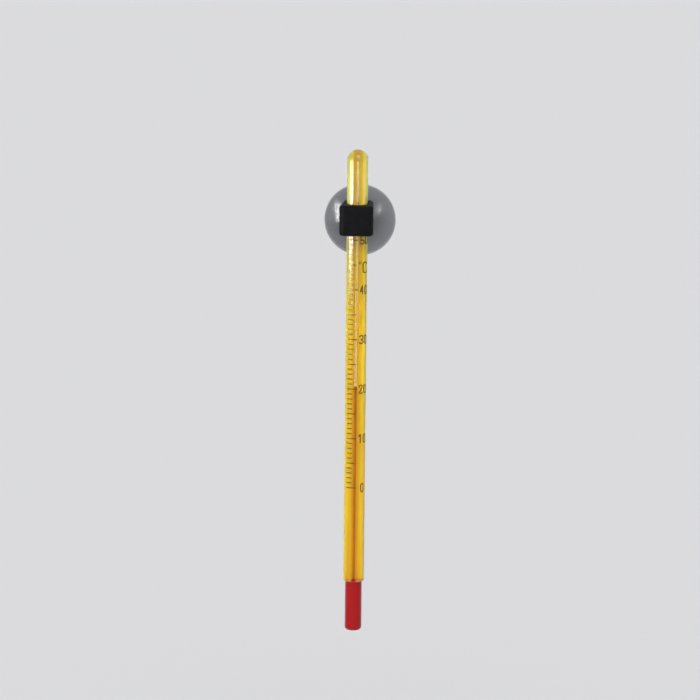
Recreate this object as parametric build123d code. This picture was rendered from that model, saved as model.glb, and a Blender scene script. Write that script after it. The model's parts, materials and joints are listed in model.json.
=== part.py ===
from build123d import *
import math
import os

# Glass aquarium thermometer held by a rubber collar on a suction cup. Units are millimetres.
# The origin is the centre of the suction cup's rim, in the plane that meets the aquarium wall.
# +Y points into the wall, +Z runs up along the glass stem, and a reader stands on the -Y side.

# Glass stem: a solid rod with a capillary bore and an enamel ribbon behind the bore
STEM_RADIUS = 3.0
STEM_AXIS_Y = -9.5
STEM_TOP_Z = 21.0
STEM_BOTTOM_Z = -103.0
DOME_HEIGHT = 2.6
DOME_CORNER_RADIUS = 1.9
SHOULDER_RADIUS = 0.4
BORE_RADIUS = 0.2
BORE_TOP_Z = 17.8
ENAMEL_WIDTH = 2.8
ENAMEL_THICKNESS = 0.35
ENAMEL_BEHIND_AXIS = 1.2
ENAMEL_TOP_Z = 19.3
# Angles round the stem run from -Y towards +X. The ribbon's front looks a little to the right.
ENAMEL_FRONT_DEG = 8.0

# Bulb: a thin shell fused to the stem's lower end
BULB_RADIUS = 2.4
BULB_WALL = 0.35
BULB_LENGTH = 14.4
BULB_END_RADIUS = 1.1

# Spirit
SPIRIT_CLEARANCE = 0.02
SPIRIT_READING_C = 20.3
MENISCUS_LENGTH = 8.0
MENISCUS_DIP = 0.08

# Scale, printed as thin raised ink on the stem
ZERO_Z = -75.7
DEGREE_PITCH = 1.424
SCALE_TOP_C = 50
FIVE_C = 5
TEN_C = 10
INK_THICKNESS = 0.03
TICK_WIDTH = 0.3
TICK_START_DEG = -45.0
DEGREE_TICK_END_DEG = -12.6
FIVE_TICK_END_DEG = 3.0
TEN_TICK_END_DEG = 12.0
DIGIT_WIDTH = 1.3
DIGIT_HEIGHT = 2.65
DIGIT_STROKE = 0.36
DIGIT_GAP = 0.3
# Angles in a digit's face, counted from its right: the open end of a bowl, and the top of the 5's bowl
BOWL_HOOK_DEG = 150.0
FIVE_BOWL_TOP_DEG = 135.0
NUMERAL_MIDDLE_DEG = 50.0
UNIT_Z = -12.35
UNIT_HEIGHT = 3.4
UNIT_WIDTH = 1.9
UNIT_RING_RADIUS = 0.4
UNIT_RING_DEG = 24.0
UNIT_LETTER_DEG = 56.0

# Suction cup, a body of revolution about Y. Depths are measured from the rim towards the reader.
CUP_RADIUS = 10.2
CUP_LAND = 0.8
CUP_LIP = 0.45
CUP_HOLLOW_DEPTH = 2.1
CUP_APEX_DEPTH = 3.4
CUP_APEX_RADIUS = 3.2
CUP_BULGE = 0.45
NECK_RADIUS = 1.9
HEAD_RADIUS = 2.55
HEAD_BACK_DEPTH = 4.9
HEAD_ROUND = 0.8
HEAD_FRONT_DEPTH = 6.1

# Collar: a moulded block round the stem, with a boss behind it that snaps over the cup's knob
# The block narrows towards the cup, and its top rises towards the cup.
COLLAR_FRONT_WIDTH = 10.0
COLLAR_BACK_WIDTH = 8.4
COLLAR_FRONT_Y = -14.2
COLLAR_BACK_Y = -5.0
COLLAR_BOTTOM_Z = -3.3
COLLAR_FRONT_TOP_Z = 5.3
COLLAR_BACK_TOP_Z = 6.3
COLLAR_FRONT_CORNER = 1.6
COLLAR_BACK_CORNER = 1.4
COLLAR_EDGE_ROUND = 0.9
STEM_CLEARANCE = 0.07
BOSS_RADIUS = 3.4
BOSS_BACK_DEPTH = 3.7
NECK_CLEARANCE = 0.05
HEAD_CLEARANCE = 0.15

# How far a cut runs past the face that it opens
OVERCUT = 1.0


def on_stem(shape):
    """Move a shape made round the Z axis to the stem's axis."""
    return Pos(0, STEM_AXIS_Y, 0) * shape


def turned(points_face):
    """Revolve a face drawn as (radius, height) round the stem's axis."""
    return on_stem(revolve(Plane.XZ * points_face, Axis.Z))


def degree_z(celsius):
    """The height of a temperature on the scale."""
    return ZERO_Z + celsius * DEGREE_PITCH


def rod(radius, bottom, top):
    """A cylinder on the stem's axis between two heights."""
    return Pos(0, STEM_AXIS_Y, (bottom + top) / 2) * Cylinder(radius, top - bottom)


def stem_envelope():
    """The stem's outside, with its domed top and a fire-rounded lower shoulder.

    The dome is a crown centred on the axis that runs tangent into a corner arc.
    """
    dome_z = STEM_TOP_Z - DOME_HEIGHT
    corner_middle = STEM_RADIUS - DOME_CORNER_RADIUS
    crown_radius = (corner_middle**2 + DOME_HEIGHT**2 - DOME_CORNER_RADIUS**2) / (
        2 * (DOME_HEIGHT - DOME_CORNER_RADIUS)
    )
    join_deg = math.degrees(math.atan2(crown_radius - DOME_HEIGHT, corner_middle))
    shoulder_z = STEM_BOTTOM_Z + SHOULDER_RADIUS
    flat_radius = STEM_RADIUS - SHOULDER_RADIUS
    outline = [
        Line((0, STEM_BOTTOM_Z), (flat_radius, STEM_BOTTOM_Z)),
        CenterArc((flat_radius, shoulder_z), SHOULDER_RADIUS, -90, 90),
        Line((STEM_RADIUS, shoulder_z), (STEM_RADIUS, dome_z)),
        CenterArc((corner_middle, dome_z), DOME_CORNER_RADIUS, 0, join_deg),
        CenterArc((0, STEM_TOP_Z - crown_radius), crown_radius, join_deg, 90 - join_deg),
        Line((0, STEM_TOP_Z), (0, STEM_BOTTOM_Z)),
    ]
    return turned(make_face(outline))


def bore():
    """The capillary, which the dome closes well above the scale."""
    return rod(BORE_RADIUS, STEM_BOTTOM_Z, BORE_TOP_Z)


def enamel_backing():
    """The coloured glass ribbon fused into the stem behind the bore."""
    height = ENAMEL_TOP_Z - STEM_BOTTOM_Z
    ribbon = Box(ENAMEL_WIDTH, ENAMEL_THICKNESS, height)
    behind = ENAMEL_BEHIND_AXIS + ENAMEL_THICKNESS / 2
    ribbon = Pos(0, behind, STEM_BOTTOM_Z + height / 2) * ribbon
    return on_stem(Rot(0, 0, ENAMEL_FRONT_DEG) * ribbon)


def stem_glass():
    return stem_envelope() - bore() - enamel_backing()


def bulb_outline(radius, top, bottom, end_radius):
    """Half a closed tube with a rounded lower end, as (radius, height)."""
    flat_radius = radius - end_radius
    return make_face(
        [
            Line((0, top), (radius, top)),
            Line((radius, top), (radius, bottom + end_radius)),
            CenterArc((flat_radius, bottom + end_radius), end_radius, 0, -90),
            Line((flat_radius, bottom), (0, bottom)),
            Line((0, bottom), (0, top)),
        ]
    )


def bulb_shape(inset):
    """The bulb's outside, or the same shape inset by a distance all round."""
    return turned(
        bulb_outline(
            BULB_RADIUS - inset,
            STEM_BOTTOM_Z,
            STEM_BOTTOM_Z - BULB_LENGTH + inset,
            BULB_END_RADIUS - inset,
        )
    )


def bulb_glass():
    return bulb_shape(0) - bulb_shape(BULB_WALL)


def bulb_spirit():
    return bulb_shape(BULB_WALL + SPIRIT_CLEARANCE)


def meniscus_bottom_z():
    """Where the thread's stretching length ends and its moving top begins."""
    return degree_z(SPIRIT_READING_C) - MENISCUS_LENGTH


def spirit_column():
    return rod(BORE_RADIUS - SPIRIT_CLEARANCE, STEM_BOTTOM_Z, meniscus_bottom_z())


def spirit_meniscus():
    """The thread's top end, dished because spirit wets the glass."""
    radius = BORE_RADIUS - SPIRIT_CLEARANCE
    top = degree_z(SPIRIT_READING_C)
    dish_radius = (radius**2 + MENISCUS_DIP**2) / (2 * MENISCUS_DIP)
    dish = Pos(0, STEM_AXIS_Y, top + dish_radius) * Sphere(dish_radius)
    return rod(radius, meniscus_bottom_z(), top + MENISCUS_DIP) - dish


def tick(celsius, end_deg):
    """One scale mark: a thin arc of ink round the stem's surface."""
    section = Plane.XZ * Pos(STEM_RADIUS + INK_THICKNESS / 2, degree_z(celsius)) * Rectangle(
        INK_THICKNESS, TICK_WIDTH
    )
    swept = revolve(section, Axis.Z, end_deg - TICK_START_DEG)
    return on_stem(Rot(0, 0, TICK_START_DEG - 90) * swept)


def ticks(values, end_deg):
    """A group of separate scale marks of one length."""
    return Compound(children=[tick(celsius, end_deg) for celsius in values])


def degree_marks():
    return ticks([c for c in range(SCALE_TOP_C) if c % FIVE_C], DEGREE_TICK_END_DEG)


def five_degree_marks():
    return ticks(range(FIVE_C, SCALE_TOP_C, TEN_C), FIVE_TICK_END_DEG)


def ten_degree_marks():
    return ticks(range(0, SCALE_TOP_C + 1, TEN_C), TEN_TICK_END_DEG)


def ink_shell():
    """The layer that the ink fills, one ink thickness deep on the stem."""
    bottom = STEM_BOTTOM_Z
    top = STEM_TOP_Z
    return rod(STEM_RADIUS + INK_THICKNESS, bottom, top) - rod(STEM_RADIUS, bottom, top)


def printed(glyph, angle_deg, height_z):
    """Ink in the shape of a flat glyph, laid on the stem at an angle and a height.

    The glyph's prism starts inside the glass and ends outside it, and keeps what is in the ink layer.
    """
    prism = extrude(Plane.XZ.offset(STEM_RADIUS / 2) * glyph, STEM_RADIUS)
    return (Pos(0, STEM_AXIS_Y, height_z) * Rot(0, 0, angle_deg) * prism) & ink_shell()


def digit_lines(digit):
    """Centre lines of the strokes of a digit from 0 to 5, in a box centred on the origin."""
    w = (DIGIT_WIDTH - DIGIT_STROKE) / 2
    h = (DIGIT_HEIGHT - DIGIT_STROKE) / 2
    bowl = h - w
    if digit == "0":
        left = Line((-w, -bowl), (-w, bowl))
        top = ThreePointArc((-w, bowl), (0, h), (w, bowl))
        right = Line((w, bowl), (w, -bowl))
        return [left, top, right, ThreePointArc((w, -bowl), (0, -h), (-w, -bowl))]
    if digit == "1":
        return [Line((0, -h), (0, h)), Line((0, h), (-w, h - w))]
    if digit == "2":
        top = ThreePointArc((-w, bowl), (0, h), (w, bowl))
        return [top, Line((w, bowl), (-w, -h)), Line((-w, -h), (w, -h))]
    if digit == "3":
        upper = CenterArc((0, h / 2), h / 2, -90, BOWL_HOOK_DEG + 90)
        return [upper, CenterArc((0, -h / 2), h / 2, -BOWL_HOOK_DEG, BOWL_HOOK_DEG + 90)]
    if digit == "4":
        slope = Line((w / 2, h), (-w, -h / 3))
        return [slope, Line((-w, -h / 3), (w, -h / 3)), Line((w / 2, h), (w / 2, -h))]
    lower = CenterArc((0, -h / 2), h / 2, -BOWL_HOOK_DEG, BOWL_HOOK_DEG + FIVE_BOWL_TOP_DEG)
    return [Line((w, h), (-w, h)), Line((-w, h), lower @ 1), lower]


def stroked(lines):
    """A flat glyph: every centre line drawn with the pen's width and round ends."""
    pen = DIGIT_STROKE / 2
    shape = Sketch()
    for line in lines:
        shape += trace(line, DIGIT_STROKE)
        shape += Pos(line @ 0) * Circle(pen)
        shape += Pos(line @ 1) * Circle(pen)
    return shape


def numeral(text):
    """A scale number as a group of separate ink digits, centred on the numeral column."""
    step_deg = math.degrees((DIGIT_WIDTH + DIGIT_GAP) / STEM_RADIUS)
    first_deg = NUMERAL_MIDDLE_DEG - step_deg * (len(text) - 1) / 2
    solids = []
    for place, digit in enumerate(text):
        glyph = stroked(digit_lines(digit))
        angle = first_deg + place * step_deg
        solids += printed(glyph, angle, degree_z(int(text))).solids()
    return Compound(children=solids)


def unit_mark():
    """The degree ring and the letter C."""
    ring = Circle(UNIT_RING_RADIUS) - Circle(UNIT_RING_RADIUS - DIGIT_STROKE / 2)
    half_width = (UNIT_WIDTH - DIGIT_STROKE) / 2
    half_height = (UNIT_HEIGHT - DIGIT_STROKE) / 2
    straight = half_height - half_width
    letter = stroked(
        [
            ThreePointArc(
                (half_width, straight + half_width / 3),
                (0, half_height),
                (-half_width, straight),
            ),
            Line((-half_width, straight), (-half_width, -straight)),
            ThreePointArc(
                (-half_width, -straight),
                (0, -half_height),
                (half_width, -straight - half_width / 3),
            ),
        ]
    )
    ring_z = UNIT_Z + UNIT_HEIGHT / 2 - UNIT_RING_RADIUS
    solids = printed(ring, UNIT_RING_DEG, ring_z).solids()
    solids += printed(letter, UNIT_LETTER_DEG, UNIT_Z).solids()
    return Compound(children=solids)


def facing_y(radius, near_depth, far_depth):
    """A cylinder on the swivel axis between two depths in front of the rim."""
    middle = -(near_depth + far_depth) / 2
    return Pos(0, middle, 0) * Rot(90, 0, 0) * Cylinder(radius, far_depth - near_depth)


def cup_dish():
    """The cup's elastic dish, solid underneath, drawn as (radius, depth) and revolved."""
    shoulder = ((CUP_RADIUS + CUP_APEX_RADIUS) / 2 + CUP_BULGE, (CUP_LIP + CUP_APEX_DEPTH) / 2)
    outline = [
        Line((0, 0), (CUP_RADIUS, 0)),
        Line((CUP_RADIUS, 0), (CUP_RADIUS, CUP_LIP)),
        ThreePointArc((CUP_RADIUS, CUP_LIP), shoulder, (CUP_APEX_RADIUS, CUP_APEX_DEPTH)),
        Line((CUP_APEX_RADIUS, CUP_APEX_DEPTH), (0, CUP_APEX_DEPTH)),
        Line((0, CUP_APEX_DEPTH), (0, 0)),
    ]
    drawn = Plane(origin=(0, 0, 0), x_dir=(1, 0, 0), z_dir=(0, 0, -1)) * make_face(outline)
    return revolve(drawn, Axis.Y)


def suction_cup():
    """A shallow elastic cup with a hollow underside, a flat rim land and a mushroom knob."""
    inner_radius = CUP_RADIUS - CUP_LAND
    hollow_radius = (inner_radius**2 + CUP_HOLLOW_DEPTH**2) / (2 * CUP_HOLLOW_DEPTH)
    hollow = Pos(0, hollow_radius - CUP_HOLLOW_DEPTH, 0) * Sphere(hollow_radius)
    neck = facing_y(NECK_RADIUS, CUP_HOLLOW_DEPTH, HEAD_BACK_DEPTH)
    head = facing_y(HEAD_RADIUS, HEAD_BACK_DEPTH, HEAD_FRONT_DEPTH)
    head = fillet(head.edges().group_by(Axis.Y)[0], HEAD_ROUND)
    return cup_dish() + neck + head - hollow


def collar_block():
    """The block before it is bored: its plan and its side view, each drawn out and intersected."""
    front, back = COLLAR_FRONT_WIDTH / 2, COLLAR_BACK_WIDTH / 2
    plan = Polygon(
        (-front, COLLAR_FRONT_Y),
        (front, COLLAR_FRONT_Y),
        (back, COLLAR_BACK_Y),
        (-back, COLLAR_BACK_Y),
        align=None,
    )
    side = Polygon(
        (COLLAR_FRONT_Y, COLLAR_BOTTOM_Z),
        (COLLAR_BACK_Y, COLLAR_BOTTOM_Z),
        (COLLAR_BACK_Y, COLLAR_BACK_TOP_Z),
        (COLLAR_FRONT_Y, COLLAR_FRONT_TOP_Z),
        align=None,
    )
    standing = Pos(0, 0, COLLAR_BOTTOM_Z) * extrude(plan, COLLAR_BACK_TOP_Z - COLLAR_BOTTOM_Z)
    block = standing & extrude(Plane.YZ * side, front, both=True)
    uprights = block.edges().filter_by(Axis.Z).sort_by(Axis.Y)
    block = fillet(uprights[:2], COLLAR_FRONT_CORNER)
    uprights = block.edges().filter_by(Axis.Z).sort_by(Axis.Y)
    block = fillet(uprights[-2:], COLLAR_BACK_CORNER)
    caps = block.faces().sort_by(Axis.Z)
    return fillet(caps[0].edges() + caps[-1].edges(), COLLAR_EDGE_ROUND)


def holder_collar():
    """The block and its boss, bored through for the stem and stepped behind for the knob."""
    boss = facing_y(BOSS_RADIUS, BOSS_BACK_DEPTH, -STEM_AXIS_Y - STEM_RADIUS)
    bore_radius = STEM_RADIUS + STEM_CLEARANCE
    stem_bore = rod(bore_radius, COLLAR_BOTTOM_Z - OVERCUT, COLLAR_BACK_TOP_Z + OVERCUT)
    neck_hole = facing_y(NECK_RADIUS + NECK_CLEARANCE, BOSS_BACK_DEPTH - OVERCUT, -STEM_AXIS_Y)
    pocket_floor = HEAD_BACK_DEPTH - NECK_CLEARANCE
    head_pocket = facing_y(HEAD_RADIUS + HEAD_CLEARANCE, pocket_floor, -STEM_AXIS_Y)
    return collar_block() + boss - stem_bore - neck_hole - head_pocket


def write_parts():
    """Write each sub-part to its own STEP file."""
    makers = [
        suction_cup,
        holder_collar,
        stem_glass,
        enamel_backing,
        bulb_glass,
        bulb_spirit,
        spirit_column,
        spirit_meniscus,
        degree_marks,
        five_degree_marks,
        ten_degree_marks,
        unit_mark,
    ]
    nodes = {maker.__name__: maker() for maker in makers}
    for value in range(0, SCALE_TOP_C + 1, TEN_C):
        nodes[f"numeral_{value}"] = numeral(str(value))
    os.makedirs("parts", exist_ok=True)
    for name, shape in nodes.items():
        export_step(shape, f"parts/{name}.step")


write_parts()
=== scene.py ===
import json
import math

import bmesh
import bpy
from mathutils import Matrix, Quaternion, Vector

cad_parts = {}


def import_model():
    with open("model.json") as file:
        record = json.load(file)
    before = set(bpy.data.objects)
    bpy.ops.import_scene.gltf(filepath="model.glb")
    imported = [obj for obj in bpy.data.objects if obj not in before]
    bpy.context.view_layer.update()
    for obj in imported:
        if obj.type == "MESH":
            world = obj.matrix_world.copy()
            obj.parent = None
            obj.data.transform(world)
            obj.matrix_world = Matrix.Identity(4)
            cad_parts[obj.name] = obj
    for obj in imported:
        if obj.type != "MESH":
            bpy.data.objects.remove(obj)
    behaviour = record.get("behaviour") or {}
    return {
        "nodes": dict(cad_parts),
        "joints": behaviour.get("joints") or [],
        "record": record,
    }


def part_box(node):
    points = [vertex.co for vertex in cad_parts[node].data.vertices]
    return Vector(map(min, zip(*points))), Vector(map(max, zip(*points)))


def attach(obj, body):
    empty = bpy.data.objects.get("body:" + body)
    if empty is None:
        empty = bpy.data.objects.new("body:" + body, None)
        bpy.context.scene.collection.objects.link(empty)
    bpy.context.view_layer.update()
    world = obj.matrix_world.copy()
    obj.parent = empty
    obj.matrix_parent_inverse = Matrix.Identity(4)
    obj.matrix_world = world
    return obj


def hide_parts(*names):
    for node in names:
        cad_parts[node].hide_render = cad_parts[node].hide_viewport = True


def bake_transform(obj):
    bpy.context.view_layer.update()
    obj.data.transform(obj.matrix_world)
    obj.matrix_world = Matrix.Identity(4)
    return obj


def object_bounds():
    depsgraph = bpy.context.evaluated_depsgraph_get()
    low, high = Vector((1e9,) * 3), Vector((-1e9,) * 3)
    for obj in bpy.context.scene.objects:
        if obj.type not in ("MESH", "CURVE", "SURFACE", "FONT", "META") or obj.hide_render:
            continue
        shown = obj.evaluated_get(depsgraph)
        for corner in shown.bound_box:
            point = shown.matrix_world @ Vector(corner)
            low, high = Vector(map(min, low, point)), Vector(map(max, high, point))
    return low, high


# Looks for a glass aquarium thermometer on a suction cup. Units are metres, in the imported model's frame:
# +Z up the stem, +Y into the wall that the cup holds, and the reader on the -Y side.
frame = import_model()
cad_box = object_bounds()

MM = 0.001

# Camera: a long lens, a little above the scale and to its right
CAMERA_AZIMUTH = 5.0
CAMERA_ELEVATION = 8.0
CAMERA_ROLL = 0.60
CAMERA_DISTANCE = 1.4
SENSOR_WIDTH = 36.0
PICTURE_WIDTH = 0.2
CUP_RIGHT_OF_MIDDLE = 0.0029
CUP_ABOVE_MIDDLE = 0.0373

# Floor and world
FLOOR_CLEARANCE = 6 * MM
FLOOR_HALF_WIDTH = 12.0
FLOOR_COLOUR = (0.90, 0.89, 0.91, 1.0)
WORLD_COLOUR = (0.98, 0.99, 1.0, 1.0)
WORLD_STRENGTH = 0.80

# Round pieces are turned in this many segments
STEM_SEGMENTS = 128
CUP_SEGMENTS = 192
ARC_STEPS = 12

# Glass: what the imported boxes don't give
DOME_HEIGHT = 2.6 * MM
DOME_CORNER_RADIUS = 1.9 * MM
SHOULDER_RADIUS = 0.4 * MM
BULB_WALL = 0.35 * MM
BULB_END_RADIUS = 1.1 * MM
BULB_CEILING_RADIUS = 0.5 * MM
BORE_CLEARANCE = 0.02 * MM
BORE_MOUTH_RADIUS = 0.6 * MM
BORE_MOUTH_LENGTH = 0.8 * MM
BORE_TOP_Z = 17.8 * MM

# Spirit: it wets the glass, so its skin lies a little inside the wall that holds it. The thread's foot stands
# a little way down in the bore's mouth.
WETTING = 0.01 * MM
THREAD_FOOT = 0.1 * MM
MENISCUS_DIP = 0.08 * MM

# Enamel ribbon: its width wanders by a share of itself, in a long and a short wave up its height. Each wave
# has its part in that share, its radians per metre and the angle that it starts from.
RIBBON_WANDER = 0.03
RIBBON_WAVES = ((0.3, 190, 0), (0.2, 430, 1))
RIBBON_RINGS = 160
RIBBON_EDGE_POINTS = 8
RIBBON_END_ROUND = 0.6 * MM
RIBBON_END_NARROWING = 0.25

# Suction cup, as distances from its middle and depths in front of its rim
CUP_LAND = 0.8 * MM
CUP_LIP = 0.45 * MM
CUP_LIP_ROUND = 0.16 * MM
CUP_HOLLOW_DEPTH = 2.1 * MM
CUP_APEX_RADIUS = 3.2 * MM
CUP_APEX_DEPTH = 3.4 * MM
CUP_BULGE = 0.45 * MM
NECK_RADIUS = 1.9 * MM
NECK_FILLET = 0.35 * MM
HEAD_RADIUS = 2.55 * MM
HEAD_BACK_DEPTH = 4.9 * MM
HEAD_ROUND = 0.8 * MM

# Colours that each cloudy material runs between. The spirit in the fine bore is so thin that the yellow glass
# behind it shows through as orange-brown.
ENAMEL_COLOURS = (0.80, 0.49, 0.014, 1.0), (0.94, 0.68, 0.038, 1.0)
BULB_SPIRIT_COLOURS = (0.38, 0.003, 0.006, 1.0), (0.52, 0.008, 0.011, 1.0)
THREAD_COLOURS = (0.42, 0.125, 0.003, 1.0), (0.54, 0.180, 0.004, 1.0)
INK_COLOURS = (0.070, 0.034, 0.004, 1.0), (0.150, 0.080, 0.010, 1.0)
COLLAR_COLOURS = (0.003, 0.003, 0.004, 1.0), (0.006, 0.006, 0.008, 1.0)

# What the enamel's colour is multiplied by, as painted light and shade, at shares of its height and, on its
# front, at shares of its width
# Up the height: the paler, less saturated upper part is painted light and shade, the darker very top is
# painted shade on the dome, and the foot is a little more orange
ENAMEL_PAINTED_LIGHT_UP = (
    (0.0, (1.0, 0.92, 0.8, 1.0)),
    (0.61, (1.0, 1.0, 1.0, 1.0)),
    (0.76, (0.86, 0.93, 1.7, 1.0)),
    (0.88, (0.86, 1.0, 4.2, 1.0)),
    (0.95, (0.86, 1.0, 4.2, 1.0)),
    (1.0, (0.60, 0.70, 2.2, 1.0)),
)
# Across the front: the paler edges are painted light, and the deeper orange down the middle is a painted glow
# of the red spirit in the bore
ENAMEL_PAINTED_LIGHT_ACROSS = (
    (0.0, (1.0, 1.25, 2.4, 1.0)),
    (0.22, (1.0, 1.16, 1.3, 1.0)),
    (0.32, (0.96, 1.0, 1.0, 1.0)),
    (0.42, (0.77, 0.68, 0.65, 1.0)),
    (0.58, (0.76, 0.66, 0.65, 1.0)),
    (0.7, (0.90, 0.82, 0.8, 1.0)),
    (0.8, (1.0, 1.08, 1.2, 1.0)),
    (0.9, (1.04, 1.25, 2.1, 1.0)),
    (1.0, (1.06, 1.34, 3.2, 1.0)),
)


def joint(name):
    """A joint's entry in the frame."""
    return next(j for j in frame["joints"] if j["name"] == name)


STEM_AXIS = Vector(joint("stem_turn")["pos_m"])
STEM_LOW, STEM_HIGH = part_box("stem_glass")
BULB_LOW, BULB_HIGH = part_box("bulb_glass")
STEM_RADIUS = STEM_HIGH.x
BULB_RADIUS = BULB_HIGH.x
THREAD_TOP_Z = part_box("spirit_column")[1].z
BORE_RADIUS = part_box("spirit_column")[1].x + BORE_CLEARANCE


# Meshes


def arc(centre, radius, start_deg, end_deg, steps=ARC_STEPS):
    """Points of an outline along an arc, both ends included."""
    angles = [math.radians(start_deg + (end_deg - start_deg) * i / steps) for i in range(steps + 1)]
    return [(centre[0] + radius * math.cos(a), centre[1] + radius * math.sin(a)) for a in angles]


def arc_through(start, middle, end, steps=ARC_STEPS):
    """Points of an outline along the arc through three points."""
    (ax, ay), (bx, by), (cx, cy) = start, middle, end
    d = 2 * (ax * (by - cy) + bx * (cy - ay) + cx * (ay - by))
    a2, b2, c2 = ax * ax + ay * ay, bx * bx + by * by, cx * cx + cy * cy
    x = (a2 * (by - cy) + b2 * (cy - ay) + c2 * (ay - by)) / d
    y = (a2 * (cx - bx) + b2 * (ax - cx) + c2 * (bx - ax)) / d
    first = math.degrees(math.atan2(ay - y, ax - x))
    last = math.degrees(math.atan2(cy - y, cx - x))
    return arc((x, y), math.hypot(ax - x, ay - y), first, last, steps)


def turn(bm, outline, place, segments, inward=False):
    """Revolve an outline of (radius, distance along the axis). A point on the axis becomes a pole."""
    rings = []
    for radius, along in outline:
        count = segments if radius > 0 else 1
        angles = [2 * math.pi * i / segments for i in range(count)]
        rings.append([bm.verts.new(place(radius * math.cos(a), radius * math.sin(a), along)) for a in angles])
    for low, high in zip(rings, rings[1:]):
        for i in range(segments):
            j = (i + 1) % segments
            corners = [low[i % len(low)], low[j % len(low)], high[j % len(high)], high[i % len(high)]]
            corners = list(dict.fromkeys(corners))
            bm.faces.new(reversed(corners) if inward else corners)


def round_stem(x, y, z):
    """A point given from the stem's axis."""
    return STEM_AXIS + Vector((x, y, z))


def round_cup(x, z, depth):
    """A point given from the cup's axis and its depth in front of the rim."""
    return Vector((x, -depth, z))


def piece_from(bm, name, material, replaces, body=None):
    """A smooth-shaded piece of the object, made from a finished bmesh."""
    for face in bm.faces:
        face.smooth = True
    mesh = bpy.data.meshes.new(name)
    bm.to_mesh(mesh)
    bm.free()
    mesh.materials.append(material)
    piece = bpy.data.objects.new(name, mesh)
    bpy.context.scene.collection.objects.link(piece)
    if body:
        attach(piece, body)
    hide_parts(*replaces)
    return piece


# Materials


def new_material(name):
    """A material with its nodes, their links and its one shader."""
    material = bpy.data.materials.new(name)
    material.use_nodes = True
    nodes = material.node_tree.nodes
    return material, nodes, material.node_tree.links, nodes["Principled BSDF"]


def noise(nodes, links, scale, detail, stretch=(1.0, 1.0, 1.0)):
    """Noise in the frame's own metres, stretched along any axis whose factor is below 1."""
    place = nodes.new("ShaderNodeTexCoord")
    mapping = nodes.new("ShaderNodeMapping")
    mapping.inputs["Scale"].default_value = stretch
    texture = nodes.new("ShaderNodeTexNoise")
    texture.inputs["Scale"].default_value = scale
    texture.inputs["Detail"].default_value = detail
    links.new(place.outputs["Object"], mapping.inputs["Vector"])
    links.new(mapping.outputs["Vector"], texture.inputs["Vector"])
    return texture.outputs["Fac"]


def ramp(nodes, links, source, *stops):
    """A colour ramp over a value, from (position, colour) stops."""
    node = nodes.new("ShaderNodeValToRGB")
    elements = node.color_ramp.elements
    while len(elements) < len(stops):
        elements.new(0.5)
    for element, (position, colour) in zip(elements, stops):
        element.position = position
        element.color = colour
    links.new(source, node.inputs["Fac"])
    return node.outputs["Color"]


def clouded(nodes, links, source, low, high, colours):
    """A value turned into colour: the first of two up to a low value, the second from a high value."""
    return ramp(nodes, links, source, (low, colours[0]), (high, colours[1]))


def spread(nodes, links, source, low, high):
    """A value from 0 to 1 brought between two others."""
    node = nodes.new("ShaderNodeMapRange")
    node.inputs["To Min"].default_value = low
    node.inputs["To Max"].default_value = high
    links.new(source, node.inputs["Value"])
    return node.outputs["Result"]


def bump(nodes, links, shader, height, distance, strength):
    """Raise the surface by a height pattern, by up to a distance in metres."""
    node = nodes.new("ShaderNodeBump")
    node.inputs["Distance"].default_value = distance
    node.inputs["Strength"].default_value = strength
    links.new(height, node.inputs["Height"])
    links.new(node.outputs["Normal"], shader.inputs["Normal"])


def absorb(nodes, links, colour, density):
    """Tint what lies behind by the length of glass that light crosses."""
    volume = nodes.new("ShaderNodeVolumeAbsorption")
    volume.inputs["Color"].default_value = colour
    volume.inputs["Density"].default_value = density
    links.new(volume.outputs["Volume"], nodes["Material Output"].inputs["Volume"])


def share_along(nodes, links, axis, low, high):
    """Along one of the frame's axes: 0 before one place, 1 after another and a straight line between them."""
    place = nodes.new("ShaderNodeTexCoord")
    split = nodes.new("ShaderNodeSeparateXYZ")
    share = nodes.new("ShaderNodeMapRange")
    share.inputs["From Min"].default_value = low
    share.inputs["From Max"].default_value = high
    links.new(place.outputs["Object"], split.inputs["Vector"])
    links.new(split.outputs[axis], share.inputs["Value"])
    return share.outputs["Result"]


def multiplied(nodes, links, first, second, share=None):
    """Two colours multiplied, the second at its full strength or at a share of it."""
    mix = nodes.new("ShaderNodeMix")
    mix.data_type = "RGBA"
    mix.blend_type = "MULTIPLY"
    mix.inputs["Factor"].default_value = 1.0
    if share is not None:
        links.new(share, mix.inputs["Factor"])
    links.new(first, mix.inputs["A"])
    links.new(second, mix.inputs["B"])
    return mix.outputs["Result"]


def clear_glass():
    """Drawn glass: long faint waves down its length, and a weak straw tint in its depth.

    It reflects under half as much as real glass, so that the pale studio doesn't veil the colours inside it.
    """
    material, nodes, links, shader = new_material("clear_glass")
    shader.inputs["Base Color"].default_value = (1.0, 0.995, 0.97, 1.0)
    shader.inputs["Transmission Weight"].default_value = 1.0
    shader.inputs["Roughness"].default_value = 0.0
    shader.inputs["IOR"].default_value = 1.5
    shader.inputs["Specular Tint"].default_value = (0.45, 0.45, 0.45, 1.0)
    waves = noise(nodes, links, scale=420.0, detail=3.0, stretch=(1.0, 1.0, 0.04))
    bump(nodes, links, shader, waves, distance=0.02 * MM, strength=0.12)
    absorb(nodes, links, colour=(0.97, 0.84, 0.25, 1.0), density=120.0)
    return material


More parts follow.
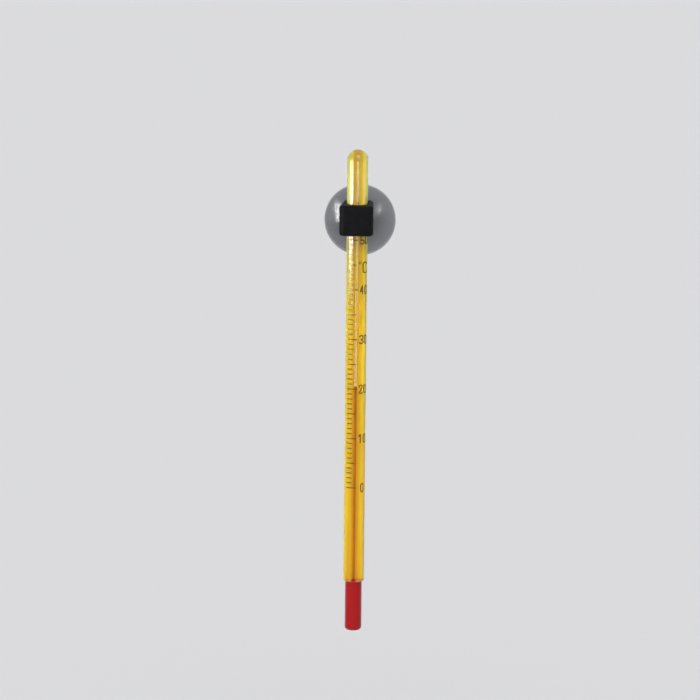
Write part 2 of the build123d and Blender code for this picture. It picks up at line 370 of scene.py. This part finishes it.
def yellow_enamel():
    """Opaque yellow glass, streaked by drawing, with painted light and shade up its height: paler and less
    saturated towards its top, and darker at its very end.

    Its front also has painted light at its edges and a painted orange glow of the spirit down its middle. It
    has no air in front of it, so it has no gloss of its own.
    """
    material, nodes, links, shader = new_material("yellow_enamel")
    streaks = noise(nodes, links, scale=2600.0, detail=5.0, stretch=(1.0, 1.0, 0.012))
    drawn = clouded(nodes, links, streaks, 0.3, 0.7, ENAMEL_COLOURS)
    low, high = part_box("enamel_backing")
    # Painted light and shade up the enamel's height
    height = share_along(nodes, links, "Z", low.z, high.z)
    painted_light_up = ramp(nodes, links, height, *ENAMEL_PAINTED_LIGHT_UP)
    # Painted light at the front's edges and a painted orange glow of the spirit down its middle
    across = share_along(nodes, links, "X", low.x, high.x)
    painted_light_across = ramp(nodes, links, across, *ENAMEL_PAINTED_LIGHT_ACROSS)
    front = share_along(nodes, links, "Y", high.y, (low.y + high.y) / 2)
    colour = multiplied(nodes, links, multiplied(nodes, links, drawn, painted_light_up), painted_light_across, front)
    links.new(colour, shader.inputs["Base Color"])
    shader.inputs["Roughness"].default_value = 0.6
    shader.inputs["Specular IOR Level"].default_value = 0.0
    return material


def dyed_spirit(name, colours):
    """Dyed spirit, a little uneven in its depth. It wets the glass, so it has no gloss."""
    material, nodes, links, shader = new_material(name)
    clouds = noise(nodes, links, scale=300.0, detail=3.0, stretch=(1.0, 1.0, 0.3))
    colour = clouded(nodes, links, clouds, 0.3, 0.7, colours)
    links.new(colour, shader.inputs["Base Color"])
    shader.inputs["Roughness"].default_value = 0.6
    shader.inputs["Specular IOR Level"].default_value = 0.0
    return material


def scale_ink():
    """Fired brown ink, nearly as glossy as the glass, and thin enough in places for its colour to vary."""
    material, nodes, links, shader = new_material("scale_ink")
    grain = noise(nodes, links, scale=9000.0, detail=6.0)
    colour = clouded(nodes, links, grain, 0.35, 0.75, INK_COLOURS)
    links.new(colour, shader.inputs["Base Color"])
    links.new(spread(nodes, links, grain, low=0.08, high=0.18), shader.inputs["Roughness"])
    shader.inputs["Specular IOR Level"].default_value = 0.38
    bump(nodes, links, shader, grain, distance=0.004 * MM, strength=0.05)
    return material


def smoky_rubber():
    """Soft clear vinyl, tinted grey in its depth, with a faintly hazy moulded skin."""
    material, nodes, links, shader = new_material("cup_rubber")
    shader.inputs["Base Color"].default_value = (0.92, 0.94, 0.95, 1.0)
    shader.inputs["Transmission Weight"].default_value = 1.0
    shader.inputs["IOR"].default_value = 1.5
    shader.inputs["Roughness"].default_value = 0.12
    skin = noise(nodes, links, scale=900.0, detail=4.0)
    bump(nodes, links, shader, skin, distance=0.02 * MM, strength=0.3)
    absorb(nodes, links, colour=(0.30, 0.31, 0.32, 1.0), density=2300.0)
    return material


def black_rubber():
    """Moulded black rubber, matt, with a fine grain and duller patches."""
    material, nodes, links, shader = new_material("collar_rubber")
    patches = noise(nodes, links, scale=500.0, detail=5.0)
    grain = noise(nodes, links, scale=7000.0, detail=3.0)
    colour = clouded(nodes, links, patches, 0.3, 0.7, COLLAR_COLOURS)
    links.new(colour, shader.inputs["Base Color"])
    links.new(spread(nodes, links, patches, low=0.45, high=0.62), shader.inputs["Roughness"])
    shader.inputs["Specular IOR Level"].default_value = 0.10
    bump(nodes, links, shader, grain, distance=0.012 * MM, strength=0.35)
    return material


def pale_floor():
    """A plain pale floor."""
    material, nodes, links, shader = new_material("pale_floor")
    shader.inputs["Base Color"].default_value = FLOOR_COLOUR
    shader.inputs["Roughness"].default_value = 0.7
    return material


# Pieces


def dome_outline():
    """From the stem's straight side to the top: a corner arc that runs into a crown on the axis."""
    corner_middle = STEM_RADIUS - DOME_CORNER_RADIUS
    dome_z = STEM_HIGH.z - DOME_HEIGHT
    crown = (corner_middle**2 + DOME_HEIGHT**2 - DOME_CORNER_RADIUS**2) / (
        2 * (DOME_HEIGHT - DOME_CORNER_RADIUS)
    )
    join_deg = math.degrees(math.atan2(crown - DOME_HEIGHT, corner_middle))
    corner = arc((corner_middle, dome_z), DOME_CORNER_RADIUS, 0, join_deg)
    top = arc((0, STEM_HIGH.z - crown), crown, join_deg, 90)
    return corner + top[1:-1] + [(0, STEM_HIGH.z)]


def bulb_end(radius, end_radius, bottom_z):
    """From the lowest point of the bulb out to its straight side."""
    flat = radius - end_radius
    return [(0, bottom_z), *arc((flat, bottom_z + end_radius), end_radius, -90, 0)]


def glass_outline():
    """The fused envelope: bulb, rounded step, stem and dome."""
    step_radius = STEM_RADIUS - SHOULDER_RADIUS - BULB_RADIUS
    step = arc((BULB_RADIUS + step_radius, STEM_LOW.z - step_radius), step_radius, 180, 90)
    shoulder = arc((STEM_RADIUS - SHOULDER_RADIUS, STEM_LOW.z + SHOULDER_RADIUS), SHOULDER_RADIUS, -90, 0)
    return bulb_end(BULB_RADIUS, BULB_END_RADIUS, BULB_LOW.z) + step + shoulder[1:] + dome_outline()


def bulb_cavity_outline(grow=0.0):
    """The bulb's inside and the mouth of the bore above it, grown by a distance into the glass."""
    radius = BULB_RADIUS - BULB_WALL + grow
    ceiling_z = STEM_LOW.z - SHOULDER_RADIUS / 2 + grow
    corner = BULB_CEILING_RADIUS + grow
    ceiling = arc((radius - corner, ceiling_z - corner), corner, 0, 90)
    low = bulb_end(radius, BULB_END_RADIUS - BULB_WALL + grow, BULB_LOW.z + BULB_WALL - grow)
    mouth = [(BORE_MOUTH_RADIUS + grow, ceiling_z), (BORE_RADIUS + grow, ceiling_z + BORE_MOUTH_LENGTH)]
    return low + ceiling + mouth


def bore_end():
    """The bore's round closed top, where the glass was fused."""
    return arc((0, BORE_TOP_Z - BORE_RADIUS), BORE_RADIUS, 0, 90)[:-1] + [(0, BORE_TOP_Z)]


def thermometer_glass(material):
    """One fused glass body, as the glassblower leaves it: solid stem, bore and bulb."""
    bm = bmesh.new()
    turn(bm, glass_outline(), round_stem, STEM_SEGMENTS)
    turn(bm, bulb_cavity_outline() + bore_end(), round_stem, STEM_SEGMENTS, inward=True)
    return piece_from(
        bm, "thermometer_glass", material, ("stem_glass", "bulb_glass"), "stem"
    )


def enamel_ribbon(material):
    """The ribbon behind the bore, with round edges, uneven width and a softened top end."""
    low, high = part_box("enamel_backing")
    middle = (low + high) / 2 - STEM_AXIS
    lean = math.atan2(-middle.x, middle.y)
    behind = math.hypot(middle.x, middle.y)
    across, deep = high.x - low.x, high.y - low.y
    cos, sin = math.cos(lean), math.sin(lean)
    width = (across * cos - deep * sin) / (cos * cos - sin * sin)
    thickness = (deep * cos - across * sin) / (cos * cos - sin * sin)
    edge = thickness / 2
    section = []
    for side in (1, -1):
        for i in range(RIBBON_EDGE_POINTS + 1):
            angle = math.pi * (i / RIBBON_EDGE_POINTS - 0.5)
            x = width / 2 - edge + edge * math.cos(angle)
            section.append((side * x, side * edge * math.sin(angle)))
    bm = bmesh.new()
    rings = []
    turned = Matrix.Rotation(lean, 3, "Z")
    for i in range(RIBBON_RINGS + 1):
        z = low.z + (high.z - low.z) * i / RIBBON_RINGS
        to_end = min((high.z - z) / RIBBON_END_ROUND, 1)
        end = 1 - RIBBON_END_NARROWING * (1 - to_end) ** 2
        waves = sum(part * math.sin(z * rate + start) for part, rate, start in RIBBON_WAVES)
        wide = end * (1 - RIBBON_WANDER * (0.5 + waves))
        points = [turned @ Vector((x * wide, behind + y * end, z)) for x, y in section]
        rings.append([bm.verts.new(round_stem(*p)) for p in points])
    count = len(section)
    for below, above in zip(rings, rings[1:]):
        for i in range(count):
            j = (i + 1) % count
            bm.faces.new((below[i], below[j], above[j], above[i]))
    bm.faces.new(reversed(rings[0]))
    bm.faces.new(rings[-1])
    return piece_from(bm, "enamel_ribbon", material, ("enamel_backing",), "stem")


def spirit_in_bulb(material):
    """The spirit's store, which fills the bulb and the mouth of the bore."""
    outline = bulb_cavity_outline(WETTING)
    bm = bmesh.new()
    turn(bm, [*outline, (0, outline[-1][1])], round_stem, STEM_SEGMENTS)
    return piece_from(bm, "spirit_in_bulb", material, ("bulb_spirit",), "spirit_charge")


def spirit_thread(material):
    """The thread in the bore, with its foot in the bore's mouth."""
    radius = BORE_RADIUS + WETTING
    bottom_z = bulb_cavity_outline()[-1][1] - THREAD_FOOT
    heights = [bottom_z + (THREAD_TOP_Z - bottom_z) * i / ARC_STEPS for i in range(ARC_STEPS + 1)]
    outline = [(0, bottom_z), *[(radius, z) for z in heights], (0, THREAD_TOP_Z)]
    bm = bmesh.new()
    turn(bm, outline, round_stem, STEM_SEGMENTS)
    piece = piece_from(bm, "spirit_thread", material, ("spirit_column",))
    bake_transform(piece)
    return piece


def spirit_top(material):
    """The thread's dished top."""
    radius = BORE_RADIUS + WETTING
    top_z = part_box("spirit_meniscus")[1].z
    dish_radius = (radius**2 + MENISCUS_DIP**2) / (2 * MENISCUS_DIP)
    half = math.degrees(math.asin(radius / dish_radius))
    dish = arc((0, top_z - MENISCUS_DIP + dish_radius), dish_radius, half - 90, -90)
    bm = bmesh.new()
    outline = [(0, THREAD_TOP_Z), (radius, THREAD_TOP_Z), *dish[:-1], (0, dish[-1][1])]
    turn(bm, outline, round_stem, STEM_SEGMENTS)
    return piece_from(bm, "spirit_top", material, ("spirit_meniscus",), "spirit_top")


def cup_outline():
    """The cup's skin from the middle of its hollow, round the rim, over the dish and out to its knob."""
    rim_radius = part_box("suction_cup")[1].x
    inner_radius = rim_radius - CUP_LAND
    head_depth = -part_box("suction_cup")[0].y
    hollow_radius = (inner_radius**2 + CUP_HOLLOW_DEPTH**2) / (2 * CUP_HOLLOW_DEPTH)
    half = math.degrees(math.asin(inner_radius / hollow_radius))
    hollow = arc((0, CUP_HOLLOW_DEPTH - hollow_radius), hollow_radius, 90, 90 - half)
    land = [(inner_radius + CUP_LIP_ROUND, 0)]
    lip = arc((rim_radius - CUP_LIP_ROUND, CUP_LIP_ROUND), CUP_LIP_ROUND, -90, 0)
    shoulder = ((rim_radius + CUP_APEX_RADIUS) / 2 + CUP_BULGE, (CUP_LIP + CUP_APEX_DEPTH) / 2)
    dish = arc_through((rim_radius, CUP_LIP), shoulder, (CUP_APEX_RADIUS, CUP_APEX_DEPTH), 3 * ARC_STEPS)
    fillet = arc((NECK_RADIUS + NECK_FILLET, CUP_APEX_DEPTH + NECK_FILLET), NECK_FILLET, 270, 180)
    head = [(NECK_RADIUS, HEAD_BACK_DEPTH), (HEAD_RADIUS, HEAD_BACK_DEPTH)]
    crown = arc((HEAD_RADIUS - HEAD_ROUND, head_depth - HEAD_ROUND), HEAD_ROUND, 0, 90)
    return [(0, CUP_HOLLOW_DEPTH), *hollow[1:], *land, *lip, *dish, *fillet, *head, *crown, (0, head_depth)]


def cup(material):
    """The suction cup with its knob, turned about the swivel axis."""
    bm = bmesh.new()
    turn(bm, cup_outline(), round_cup, CUP_SEGMENTS)
    return piece_from(bm, "cup", material, ("suction_cup",), "cup")


def dress_cad_nodes(material_of_slot):
    """Give every CAD node the finished material of its slot, for those that stay in view."""
    slot_of_node = {part["node"]: part["material_slot"] for part in frame["record"]["subparts"]}
    for name, node in frame["nodes"].items():
        material = material_of_slot[slot_of_node[name]]
        for material_slot in node.material_slots:
            material_slot.material = material


# Stage


def floor(material):
    """A wide floor, low enough for the stem's lowest slide."""
    bm = bmesh.new()
    half = FLOOR_HALF_WIDTH
    z = cad_box[0].z + joint("stem_slide")["range_m"][0] - FLOOR_CLEARANCE
    corners = ((-half, -half), (half, -half), (half, half), (-half, half))
    bm.faces.new([bm.verts.new((x, y, z)) for x, y in corners])
    mesh = bpy.data.meshes.new("floor")
    bm.to_mesh(mesh)
    bm.free()
    mesh.materials.append(material)
    piece = bpy.data.objects.new("floor", mesh)
    bpy.context.scene.collection.objects.link(piece)
    return piece


def direction(azimuth, elevation):
    """From the object towards a viewer at an azimuth and elevation in degrees."""
    a, e = math.radians(azimuth), math.radians(elevation)
    return Vector((math.sin(a) * math.cos(e), -math.cos(a) * math.cos(e), math.sin(e)))


def lamp_shade(name, *pieces):
    """A light-linking collection that keeps a lamp off some pieces."""
    made = bpy.data.collections.new(name)
    for piece in pieces:
        made.objects.link(piece)
    for member in made.collection_objects:
        member.light_linking.link_state = "EXCLUDE"
    return made


def faded(nodes, links, along, share):
    """From a place along a panel, 0 to 1: 1 in the middle, falling smoothly to 0 over a share at each end."""
    from_middle = nodes.new("ShaderNodeMath")
    from_middle.operation = "PINGPONG"
    from_middle.inputs[1].default_value = 0.5
    links.new(along, from_middle.inputs[0])
    fade = nodes.new("ShaderNodeMapRange")
    fade.interpolation_type = "SMOOTHSTEP"
    fade.inputs["From Max"].default_value = share
    links.new(from_middle.outputs["Value"], fade.inputs["Value"])
    return fade.outputs["Result"]


def soft_box(name, azimuth, elevation, distance, size, brightness, fades, shade):
    """A panel of light that faces the cup, fades towards its edges and can't be seen itself."""
    data = bpy.data.lights.new(name, "AREA")
    data.shape = "RECTANGLE"
    data.size, data.size_y = size
    data.energy = brightness * math.pi * data.size * data.size_y
    data.use_nodes = True
    nodes, links = data.node_tree.nodes, data.node_tree.links
    place = nodes.new("ShaderNodeNewGeometry")
    split = nodes.new("ShaderNodeSeparateXYZ")
    links.new(place.outputs["Parametric"], split.inputs["Vector"])
    # Parametric Y runs along the panel's width, and the sum of X and Y runs along its height
    across = split.outputs["Y"]
    upward = nodes.new("ShaderNodeMath")
    upward.operation = "ADD"
    links.new(split.outputs["X"], upward.inputs[0])
    links.new(split.outputs["Y"], upward.inputs[1])
    strength = nodes.new("ShaderNodeMath")
    strength.operation = "MULTIPLY"
    links.new(faded(nodes, links, across, fades[0]), strength.inputs[0])
    links.new(faded(nodes, links, upward.outputs["Value"], fades[1]), strength.inputs[1])
    links.new(strength.outputs["Value"], nodes["Emission"].inputs["Strength"])
    light = bpy.data.objects.new(name, data)
    back = direction(azimuth, elevation)
    light.location = back * distance
    light.rotation_mode = "QUATERNION"
    light.rotation_quaternion = back.to_track_quat("Z", "Y")
    light.visible_camera = False
    light.light_linking.receiver_collection = shade
    bpy.context.scene.collection.objects.link(light)


def world():
    """Even light from all round."""
    made = bpy.data.worlds.new("studio")
    made.use_nodes = True
    background = made.node_tree.nodes["Background"]
    background.inputs["Color"].default_value = WORLD_COLOUR
    background.inputs["Strength"].default_value = WORLD_STRENGTH
    bpy.context.scene.world = made


def camera():
    """The camera, aimed so that the cup stands above and right of the picture's middle."""
    data = bpy.data.cameras.new("camera")
    data.sensor_width = SENSOR_WIDTH
    data.lens = SENSOR_WIDTH * CAMERA_DISTANCE / PICTURE_WIDTH
    made = bpy.data.objects.new("camera", data)
    back = direction(CAMERA_AZIMUTH, CAMERA_ELEVATION)
    facing = (-back).to_track_quat("-Z", "Y") @ Quaternion((0, 0, 1), math.radians(CAMERA_ROLL))
    right, up = facing @ Vector((1, 0, 0)), facing @ Vector((0, 1, 0))
    made.rotation_mode = "QUATERNION"
    made.rotation_quaternion = facing
    made.location = back * CAMERA_DISTANCE - right * CUP_RIGHT_OF_MIDDLE - up * CUP_ABOVE_MIDDLE
    bpy.context.scene.collection.objects.link(made)
    bpy.context.scene.camera = made


camera()
world()
ground = floor(pale_floor())
bpy.context.scene.view_settings.view_transform = "Standard"

glass, enamel = clear_glass(), yellow_enamel()
spirit = dyed_spirit("red_spirit", BULB_SPIRIT_COLOURS)
thin = dyed_spirit("thin_spirit", THREAD_COLOURS)
ink, smoky, black = scale_ink(), smoky_rubber(), black_rubber()
dress_cad_nodes(
    {
        "clear_glass": glass,
        "yellow_enamel": enamel,
        "red_spirit": spirit,
        "scale_ink": ink,
        "cup_rubber": smoky,
        "collar_rubber": black,
    }
)
thermometer_glass(glass)
enamel_ribbon(enamel)
spirit_in_bulb(spirit)
spirit_thread(thin)
spirit_top(thin)
suction_cup = cup(smoky)

off_floor = lamp_shade("off_floor", ground)
on_stem = lamp_shade("on_stem", ground, suction_cup, frame["nodes"]["holder_collar"])
soft_box(
    "left_strip",
    azimuth=-68.0,
    elevation=-6.0,
    distance=0.8,
    size=(0.55, 0.10),
    brightness=54.0,
    fades=(0.5, 0.25),
    shade=on_stem,
)
soft_box(
    "left_box",
    azimuth=-46.0,
    elevation=4.0,
    distance=0.8,
    size=(0.12, 0.62),
    brightness=20.0,
    fades=(0.3, 0.1),
    shade=off_floor,
)
soft_box(
    "right_box",
    azimuth=31.0,
    elevation=12.0,
    distance=0.8,
    size=(0.18, 0.44),
    brightness=8.0,
    fades=(0.5, 0.5),
    shade=off_floor,
)
soft_box(
    "key",
    azimuth=10.0,
    elevation=50.0,
    distance=1.0,
    size=(0.8, 0.6),
    brightness=8.0,
    fades=(0.1, 0.1),
    shade=on_stem,
)
